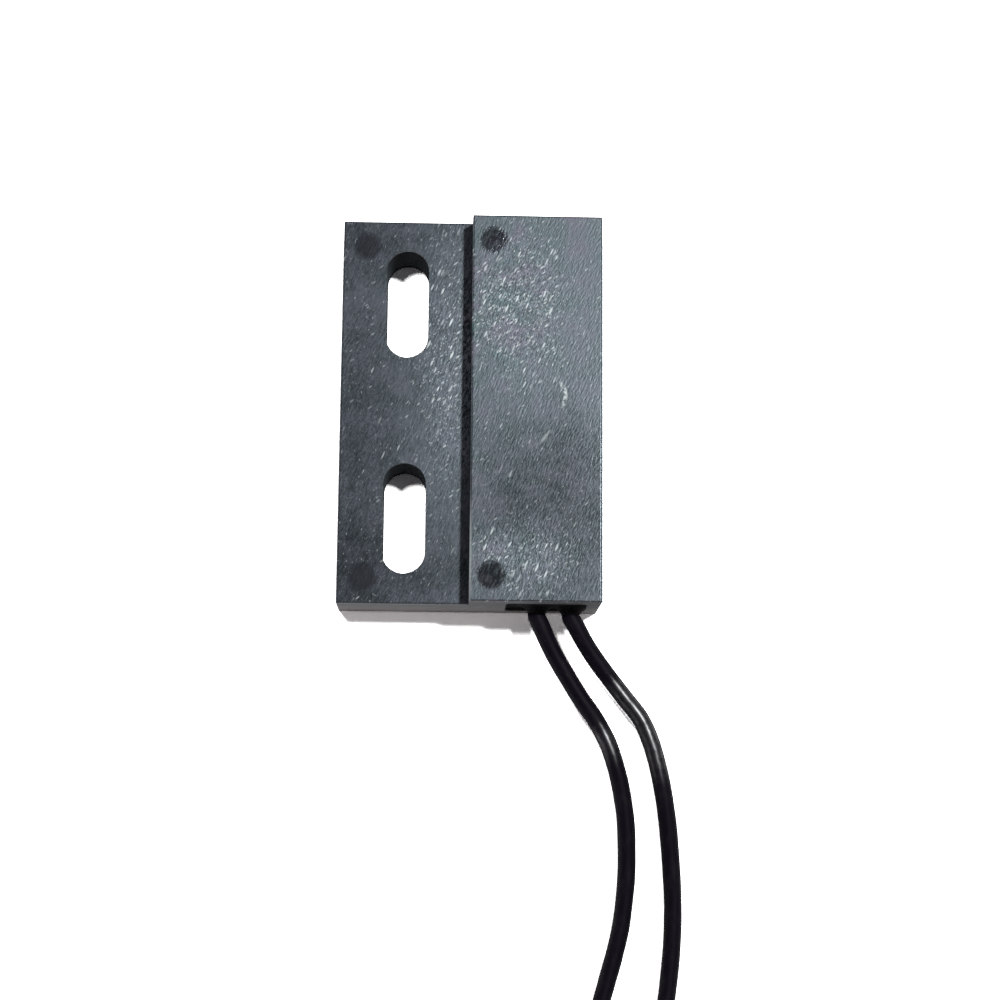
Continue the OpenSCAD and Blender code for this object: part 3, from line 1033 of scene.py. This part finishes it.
@dataclass(frozen=True)
class TieNylon:
    """Black nylon of the tie, with a faint sheen and small rub marks.

    Attributes:
        base: colour of the nylon.
        rubbed: colour where it is rubbed.
    """

    base: Color = (0.013, 0.013, 0.015, 1.0)
    rubbed: Color = (0.05, 0.05, 0.055, 1.0)

    def material(self, effects: SurfaceEffects) -> bpy.types.Material:
        """Builds the finish.

        Args:
            effects: the shared node groups.

        Returns:
            The material.
        """
        material, sheet, place = start_material("tie_nylon", PatternSpace.OBJECT)
        grain = sheet.place(effects.grain, {"Place": place, "Size": (0.12, 0.12, 0.12)})
        rub = sheet.place(effects.grain, {"Place": place, "Size": (0.7, 0.7, 0.7)})
        color = sheet.mix(sheet.step(rub.outputs["Grain"], 0.5, 0.75), self.base, self.rubbed)
        end_material(
            sheet,
            {
                "Base Color": color,
                "Roughness": sheet.weigh(0.3, (rub.outputs["Grain"], 0.25)),
                "Normal": sheet.bump(grain.outputs["Height"], 0.25, 0.03),
            },
        )
        return material


@dataclass(frozen=True)
class PhotoCamera:
    """The camera at the photograph's place.

    Attributes:
        place_mm: where it stands.
        turn_deg: its turn about X, Y and Z.
        lens_mm: its focal length.
        sensor_mm: width of its sensor.
    """

    place_mm: Point = (-2.16, -33.94, 154.8)
    turn_deg: Point = (10.279, -1.757, 0.505)
    lens_mm: float = 75.964
    sensor_mm: float = 36.0

    def set_up(self) -> None:
        """Makes the camera and gives it to the scene."""
        data = bpy.data.cameras.new("photo_camera")
        data.lens = self.lens_mm
        data.sensor_width = self.sensor_mm
        data.clip_start = 0.005
        data.clip_end = 20.0
        camera = bpy.data.objects.new("photo_camera", data)
        camera.location = Vector(self.place_mm) * MM
        camera.rotation_euler = Euler([math.radians(a) for a in self.turn_deg])
        bpy.context.scene.collection.objects.link(camera)
        bpy.context.scene.camera = camera


@dataclass(frozen=True)
class Lamp:
    """A lamp, either so far away that it lights everything alike or at a distance.

    Attributes:
        name: its name.
        towards: direction from the object to the lamp.
        power: its strength at the origin, in watts per square metre.
        width_deg: how wide it looks from the object.
        color: its colour.
        gloss: whether it shows in reflections.
        distance: how far it is from the origin.
    """

    name: str
    towards: Point
    power: float
    width_deg: float
    color: tuple[float, float, float]
    gloss: bool = True
    distance: float = math.inf

    def set_up(self) -> None:
        """Makes the lamp."""
        width = math.radians(self.width_deg)
        if math.isinf(self.distance):
            data = bpy.data.lights.new(self.name, "SUN")
            data.energy = self.power
            data.angle = width
            place = Vector()
        else:
            data = bpy.data.lights.new(self.name, "POINT")
            data.energy = self.power * 4.0 * math.pi * self.distance**2
            data.shadow_soft_size = self.distance * math.tan(width / 2.0)
            place = Vector(self.towards).normalized() * self.distance
        data.color = self.color
        lamp = bpy.data.objects.new(self.name, data)
        lamp.location = place
        lamp.rotation_euler = Vector(self.towards).to_track_quat("Z", "Y").to_euler()
        lamp.visible_camera = False
        lamp.visible_glossy = self.gloss
        bpy.context.scene.collection.objects.link(lamp)


@dataclass(frozen=True)
class Studio:
    """Two lamps overhead, a dim room and a pale floor that rises to a wall far behind.

    Attributes:
        lamps: the two lamps.
        room: the room's strength.
        room_color: the room's colour.
        floor_r: radius of the flat floor.
        wall_r: radius of the bend up to the wall.
        wall_h: height of the wall.
        floor_z: height of the floor, just under the object.
        sides: points in a ring of the floor.
    """

    lamps: tuple[Lamp, ...] = (
        Lamp("lamp_right", (0.34, 0.22, 1.0), 1.9, 5.0, (0.97, 0.99, 1.0)),
        Lamp("lamp_left", (-0.23, 0.18, 1.0), 1.27, 5.0, (1.0, 0.99, 0.98), False, 0.212),
    )
    room: float = 0.045
    room_color: Color = (1.0, 0.86, 0.85, 1.0)
    floor_r: float = 1.2
    wall_r: float = 0.4
    wall_h: float = 0.9
    floor_z: float = -0.00003
    sides: int = 96

    def set_up(self) -> None:
        """Makes the light, the room and the floor."""
        for lamp in self.lamps:
            lamp.set_up()
        world = bpy.data.worlds.new("room")
        world.use_nodes = True
        sheet = NodeSheet(world.node_tree)
        glow = sheet.add("ShaderNodeBackground", {"Color": self.room_color, "Strength": self.room})
        sheet.add("ShaderNodeOutputWorld", {"Surface": glow.outputs[0]})
        bpy.context.scene.world = world
        floor = self._floor()
        dress(floor, self._floor_material())
        bpy.context.scene.view_settings.view_transform = "Standard"

    def _floor(self) -> bpy.types.Object:
        """Makes the floor: a level disc, a quarter round at its rim and a wall, turned about Z.

        Returns:
            The floor's object.
        """
        disc = np.stack([np.array([0.002, 0.1, 0.4, 0.8, self.floor_r]), np.zeros(5)], axis=1)
        a = np.linspace(0.0, math.pi / 2, 9)[1:]
        bend = np.stack([self.floor_r + self.wall_r * np.sin(a), self.wall_r * (1 - np.cos(a))], axis=1)
        top = np.array([[self.floor_r + self.wall_r, self.wall_h]])
        profile = np.concatenate([disc, bend, top])
        t = ring_angles(self.sides)
        x = profile[:, None, 0] * np.cos(t)[None, :]
        y = profile[:, None, 0] * np.sin(t)[None, :]
        z = np.broadcast_to(profile[:, None, 1] + self.floor_z, x.shape)
        middle = np.arange(self.sides).tolist()
        points = np.stack([x, y, z], axis=-1).reshape(-1, 3)
        return new_piece("floor", points, [*ring_walls(len(profile), self.sides), middle])

    @staticmethod
    def _floor_material() -> bpy.types.Material:
        """White floor: plain for light, white in gloss and glass, and brighter to the camera.

        Returns:
            The material.
        """
        material = bpy.data.materials.new("pale_floor")
        material.use_nodes = True
        sheet = NodeSheet(material.node_tree)
        path = sheet.add("ShaderNodeLightPath")
        mirrored = sheet.math("MAXIMUM", path.outputs["Is Glossy Ray"], path.outputs["Is Transmission Ray"])
        light = sheet.weigh(0.8, (path.outputs["Is Camera Ray"], 2.9), (mirrored, 0.2))
        white = sheet.add("ShaderNodeBsdfDiffuse", {"Color": light})
        sheet.add("ShaderNodeOutputMaterial", {"Surface": white.outputs[0]})
        return material


@dataclass(frozen=True)
class CoilLay:
    """How the leads are wound where the photograph doesn't show them.

    A lead's distance from the middle is the outermost column's, less a column for each step
    inwards and plus one for each step outwards. Each step takes a share of a turn.

    Attributes:
        centre_mm: middle of the coil.
        outer_mm: radius of the outermost column.
        pitch_mm: distance between two columns or two levels.
        step_turns: share of a turn that a step takes.
        rise_at: where in the turns a lead climbs to its second layer.
        samples: points in a turn.
    """

    centre_mm: tuple[float, float] = (5.6, -58.0)
    outer_mm: float = 7.8
    pitch_mm: float = 1.3
    step_turns: float = 0.22
    rise_at: float = 2.78
    samples: int = 48

    def wind(self, turns: float, level_mm: float, steps: tuple[tuple[float, float], ...]) -> Array:
        """Winds a lead clockwise from the right hand side.

        Args:
            turns: how many turns.
            level_mm: height of its first layer.
            steps: where in the turns it changes column, and by how many columns inwards.

        Returns:
            Rows of X, Y and Z in millimetres.
        """
        t = np.linspace(0.0, turns, int(turns * self.samples))
        inward = sum(count * smooth_step((t - at) / self.step_turns) for at, count in steps)
        r = self.outer_mm - self.pitch_mm * inward
        x = self.centre_mm[0] + r * np.cos(2 * math.pi * t)
        y = self.centre_mm[1] - r * np.sin(2 * math.pi * t)
        z = level_mm + self.pitch_mm * smooth_step((t - self.rise_at) / self.step_turns)
        return np.stack([x, y, z], axis=1)


@dataclass(frozen=True)
class Lead:
    """One insulated lead, from the potting to its bare end.

    Attributes:
        name: the lead's name.
        jacket: the solid that it carries on from.
        route_mm: points from the mouth to the coil.
        turns: turns in the coil.
        level_mm: height of its first layer in the coil.
        steps: its changes of column.
        tail_mm: points from the coil to the end of the insulation.
        replaced: the solids that it stands for.
        rubbed_mm: where along it the insulation starts and stops to be rubbed shiny.
        diameter_mm: diameter over the insulation.
        length: the lead's real length.
        straight_mm: how far it goes straight on from the jacket.
        ring_mm: distance between two rings.
        sides: points in a ring.
    """

    name: str
    jacket: str
    route_mm: tuple[Point, ...]
    turns: float
    level_mm: float
    steps: tuple[tuple[float, float], ...]
    tail_mm: tuple[Point, ...]
    replaced: tuple[str, ...]
    rubbed_mm: tuple[float, float]
    diameter_mm: float = 1.3
    length: float = 0.305
    straight_mm: float = 0.2
    ring_mm: float = 0.38
    sides: int = 16

    def exit_point(self) -> Array:
        """Middle of the jacket's outer end, where the lead leaves the object."""
        low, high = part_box(self.jacket)
        return np.array([(low.x + high.x) / 2, low.y, (low.z + high.z) / 2])

    def path(self) -> Array:
        """Joins the way out, the coil and the tail into one smooth line.

        Returns:
            Ring centres, in metres.
        """
        start = self.exit_point()
        first = np.stack([start, start + np.array([0.0, -self.straight_mm * MM, 0.0])])
        coil = CoilLay().wind(self.turns, self.level_mm, self.steps)
        rest = np.concatenate([np.array(self.route_mm), coil, np.array(self.tail_mm)]) * MM
        return smooth_path(np.concatenate([first, rest]), self.ring_mm * MM)

    def _shine(self, run: Array, angles: Array) -> Array:
        """Says how much the insulation is rubbed: a soft stretch of its length, on its top.

        Args:
            run: length along the lead at each ring, in millimetres.
            angles: angles of a ring's points.

        Returns:
            The rub, from 0 to 1, by ring and point.
        """
        start, stop = self.rubbed_mm
        along = smooth_step((run - start) / 1.5) * smooth_step((stop - run) / 2.5)
        on_top = smooth_step((np.sin(angles) - 0.35) / 0.4)
        return along[:, None] * on_top[None, :]

    def build(self, material: bpy.types.Material, tip: bpy.types.Object) -> bpy.types.Object:
        """Makes the lead, a tube whose radius waves by about one part in a hundred.

        Args:
            material: its insulation.
            tip: the bare end on it; not used.

        Returns:
            The lead's object.
        """
        path = self.path()
        length = run_along(path)[-1]
        run = np.linspace(0.0, length, len(path)) / MM
        a = ring_angles(self.sides)
        wave = 0.007 * np.sin(1.9 * run) + 0.005 * np.sin(0.73 * run + 1.0) + 0.003 * np.sin(4.3 * run)
        oval = 0.008 * np.cos(2.0 * a[None, :] + 0.35 * run[:, None])
        radius = self.diameter_mm / 2 * MM * (1.0 + wave[:, None] + oval)
        form = TubeForm(path, radius, self.sides)
        piece = new_piece(self.name, form.points(), form.faces())
        keep_vectors(piece, PatternSpace.STRAIGHTENED.value, form.straightened())
        kept = piece.data.attributes.new(RUBBED, "FLOAT", "POINT")
        kept.data.foreach_set("value", self._shine(run, a).ravel().astype(np.float32))
        dress(piece, material)
        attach(piece, "sensor")
        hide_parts(*self.replaced)
        LOG.info("%s is %.4f m long", self.name, length)
        return piece


@dataclass(frozen=True)
class StrandedTip:
    """The tinned end of a lead: one straight strand and six that wind round it.

    Attributes:
        name: the tip's name.
        node: the solid that it stands for.
        foot_mm: where it leaves the insulation.
        before_mm: a point on the lead before that.
        length_mm: how far it stands out.
        strand_mm: diameter of a strand.
        lay_mm: length along the tip in which a strand goes once round.
        hidden_mm: how far it starts inside the insulation.
        samples: rings along a strand.
        sides: points in a ring.
    """

    name: str
    node: str
    foot_mm: Point
    before_mm: Point
    length_mm: float = 5.0
    strand_mm: float = 0.2
    lay_mm: float = 5.5
    hidden_mm: float = 0.3
    samples: int = 44
    sides: int = 8

    def build(self, material: bpy.types.Material) -> bpy.types.Object:
        """Makes the strands, each a tube whose centre turns about the tip's line.

        Args:
            material: the tinned finish.

        Returns:
            The tip's object.
        """
        foot = np.array(self.foot_mm)
        way = foot - np.array(self.before_mm)
        ahead = np.array([way[0], way[1], 0.0]) / math.hypot(way[0], way[1])
        side = np.array([ahead[1], -ahead[0], 0.0])
        over = np.array([0.0, 0.0, 1.0])
        points: list[Array] = []
        faces: list[list[int]] = []
        for strand in range(7):
            reach = self.length_mm - 0.06 * ((strand * 3) % 7)
            s = np.linspace(-self.hidden_mm, reach, self.samples)
            off = 0.0 if strand == 0 else self.strand_mm
            turn = 2 * math.pi * (s / self.lay_mm + strand / 6.0)
            centre = foot + s[:, None] * ahead
            centre = centre + off * (np.cos(turn)[:, None] * side + np.sin(turn)[:, None] * over)
            form = TubeForm(centre * MM, self.strand_mm / 2 * MM, self.sides)
            faces.extend(form.faces(strand * self.samples * self.sides))
            points.append(form.points())
        piece = new_piece(self.name, np.concatenate(points), faces)
        dress(piece, material)
        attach(piece, "sensor")
        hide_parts(self.node)
        LOG.info("%s has 7 strands", self.name)
        return piece


@dataclass(frozen=True)
class PottingFace:
    """The face of the potting in the mouth, which creeps up the walls and the leads.

    Attributes:
        wall_rise_mm: how high it stands at the walls.
        lead_rise_mm: how high it stands at the near and the far lead.
        wall_fade_mm: distance over which it falls away from a wall.
        lead_fade_mm: distance over which it falls away from a lead.
        recess_mm: depth of the flat face in the mouth.
        rim_mm: how far its rim is pushed back.
        rows: points along the mouth's height.
        columns: points along the mouth's width.
    """

    wall_rise_mm: float = 0.17
    lead_rise_mm: tuple[float, float] = (0.72, 0.85)
    wall_fade_mm: float = 0.2
    lead_fade_mm: float = 0.34
    recess_mm: float = 0.3
    rim_mm: float = 0.3
    rows: int = 72
    columns: int = 104

    def build(self, material: bpy.types.Material) -> bpy.types.Object:
        """Makes the face as a height over the mouth, with a rim that is pushed back and closed.

        The height is the sum of a fall away from each wall and from each lead, each of them
        the rise times e to the minus distance over its fade, and of a slow wave.

        Args:
            material: the resin's finish.

        Returns:
            The face's object.
        """
        low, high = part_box("potting")
        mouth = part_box("housing")[0].y
        u = np.concatenate([[0.0], np.linspace(0.0, 1.0, self.columns - 2), [1.0]])
        v = np.concatenate([[0.0], np.linspace(0.0, 1.0, self.rows - 2), [1.0]])
        x = (low.x + u * (high.x - low.x))[None, :] / MM
        z = (low.z + v * (high.z - low.z))[:, None] / MM
        walls = [x - low.x / MM, high.x / MM - x, z - low.z / MM, high.z / MM - z]
        rise = sum(self.wall_rise_mm * np.exp(-d / self.wall_fade_mm) for d in walls)
        rise = np.minimum(rise, self.wall_rise_mm * 1.3)
        for jacket, height in zip(("near_jacket", "far_jacket"), self.lead_rise_mm):
            a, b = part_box(jacket)
            away = np.hypot(x - (a.x + b.x) / 2 / MM, z - (a.z + b.z) / 2 / MM) - (b.x - a.x) / 2 / MM
            rise = rise + height * np.exp(-np.maximum(away, 0.0) / self.lead_fade_mm)
        rise = rise + 0.02 * np.sin(2.1 * x + 0.6) * np.cos(2.7 * z)
        rise[0, :] = rise[-1, :] = -self.rim_mm
        rise[:, 0] = rise[:, -1] = -self.rim_mm
        y = mouth / MM + self.recess_mm - rise
        points = np.stack(np.broadcast_arrays(x, y, z), axis=-1).reshape(-1, 3) * MM
        i = np.arange(self.rows - 1)[:, None] * self.columns
        k = np.arange(self.columns - 1)[None, :]
        corners = [i + k, i + k + 1, i + k + 1 + self.columns, i + k + self.columns]
        quads = np.stack(corners, axis=-1).reshape(-1, 4).tolist()
        grid = np.arange(self.rows * self.columns).reshape(self.rows, self.columns)
        rim = np.concatenate([grid[0, :-1], grid[:-1, -1], grid[-1, :0:-1], grid[:0:-1, 0]])[::-1]
        piece = new_piece("potting_face", points, [*quads, rim.tolist()])
        dress(piece, material)
        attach(piece, "sensor")
        LOG.info("potting_face is in the mouth")
        return piece


@dataclass(frozen=True)
class SolidDressing:
    """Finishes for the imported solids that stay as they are."""

    def dress_all(self, nodes: dict[str, bpy.types.Object], effects: SurfaceEffects) -> None:
        """Gives every shown solid its finish.

        Args:
            nodes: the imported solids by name.
            effects: the shared node groups.
        """
        resin = PottingEpoxy().material(effects)
        finishes = {
            "housing": MouldedPlastic().material(effects),
            "potting": resin,
            "glass_capsule": SwitchGlass().material(effects),
            "coil_tie": TieNylon().material(effects),
        }
        pairs = {
            "reed": Metal.REED_ALLOY.material(effects),
            "blade": Metal.BLADE_PLATING.material(effects),
            "solder": Metal.SOLDER.material(effects),
            "conductor": Metal.COPPER.material(effects),
            "jacket": LeadInsulation().material(effects, PatternSpace.OBJECT),
        }
        for kind, material in pairs.items():
            finishes[f"near_{kind}"] = material
            finishes[f"far_{kind}"] = material
        for name, material in finishes.items():
            dress(nodes[name], material)
            LOG.info("%s is dressed in %s", name, material.name)
        PottingFace().build(resin)


NEAR_TAIL: tuple[Point, ...] = (
    (13.4, -59.5, 2.3), (13.5, -61.5, 1.95), (13.65, -63.5, 1.35), (13.85, -65.5, 0.8), (14.0, -67.5, 0.65),
)
FAR_TAIL: tuple[Point, ...] = (
    (4.4, -65.85, 4.9), (2.4, -66.0, 4.4), (0.4, -66.15, 3.3), (-1.6, -66.3, 2.0), (-3.6, -66.4, 1.0),
    (-5.6, -66.5, 0.65),
)
NEAR_LEAD = Lead(
    name="near_lead_insulation",
    jacket="near_jacket",
    route_mm=(
        (5.3, -15.6, 3.12), (5.75, -16.6, 2.97), (6.35, -17.75, 2.79), (7.2, -19.15, 2.64),
        (8.2, -20.75, 2.57), (9.3, -22.3, 2.52), (10.15, -23.85, 2.47), (10.75, -25.55, 2.38),
        (11.2, -27.4, 2.19), (11.5, -29.35, 1.96), (11.6, -31.3, 1.71), (11.6, -33.25, 1.46),
        (11.45, -35.2, 1.22), (11.2, -37.1, 1.01), (10.75, -39.05, 0.83), (10.2, -41.0, 0.73),
        (9.65, -43.2, 0.67), (9.75, -45.8, 0.65), (10.45, -48.4, 0.65), (11.55, -51.0, 0.7),
        (12.6, -53.5, 0.85), (13.2, -55.5, 1.0), (13.4, -57.5, 1.05),
    ),
    turns=6.0,
    level_mm=1.05,
    steps=((0.78, 1.0), (1.78, 1.0), (4.0, -1.0), (5.0, -1.0)),
    tail_mm=NEAR_TAIL,
    replaced=("near_lead", "near_tail", "lead_coil"),
    rubbed_mm=(9.0, 12.8),
)
FAR_LEAD = Lead(
    name="far_lead_insulation",
    jacket="far_jacket",
    route_mm=(
        (7.8, -15.55, 3.12), (8.35, -16.55, 2.98), (9.1, -17.7, 2.79), (10.15, -19.1, 2.64),
        (11.4, -20.7, 2.57), (12.6, -22.25, 2.52), (13.3, -23.85, 2.47), (13.8, -25.55, 2.38),
        (14.2, -27.4, 2.19), (14.5, -29.35, 1.96), (14.7, -31.25, 1.71), (14.85, -33.2, 1.46),
        (14.95, -35.15, 1.22), (14.95, -37.1, 1.01), (14.85, -39.0, 0.83), (14.65, -40.95, 0.73),
        (14.25, -44.0, 0.67), (14.1, -46.7, 0.7), (13.95, -49.4, 1.05), (13.75, -52.0, 1.8),
        (13.5, -54.5, 2.8), (13.4, -57.0, 3.55),
    ),
    turns=6.25,
    level_mm=3.65,
    steps=((0.78, 1.0), (1.78, 1.0), (4.0, -1.0), (5.28, -1.0)),
    tail_mm=FAR_TAIL,
    replaced=("far_lead", "far_tail", "lead_coil"),
    rubbed_mm=(5.4, 14.6),
)


def main() -> None:
    """Builds the camera, the leads, the dressing and the studio, in that order."""
    logging.basicConfig(level=logging.INFO, format="%(levelname)s %(message)s")
    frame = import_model()
    PhotoCamera().set_up()
    effects = SurfaceEffects()
    insulation = LeadInsulation().material(effects, PatternSpace.STRAIGHTENED)
    tinned = Metal.TINNED_WIRE.material(effects)
    for lead, tip_name, node, tail in (
        (NEAR_LEAD, "near_lead_strands", "near_tip", NEAR_TAIL),
        (FAR_LEAD, "far_lead_strands", "far_tip", FAR_TAIL),
    ):
        tip = StrandedTip(tip_name, node, tail[-1], tail[-2]).build(tinned)
        lead.build(insulation, tip)
    SolidDressing().dress_all(frame["nodes"], effects)
    Studio().set_up()


if __name__ == "__main__":
    main()
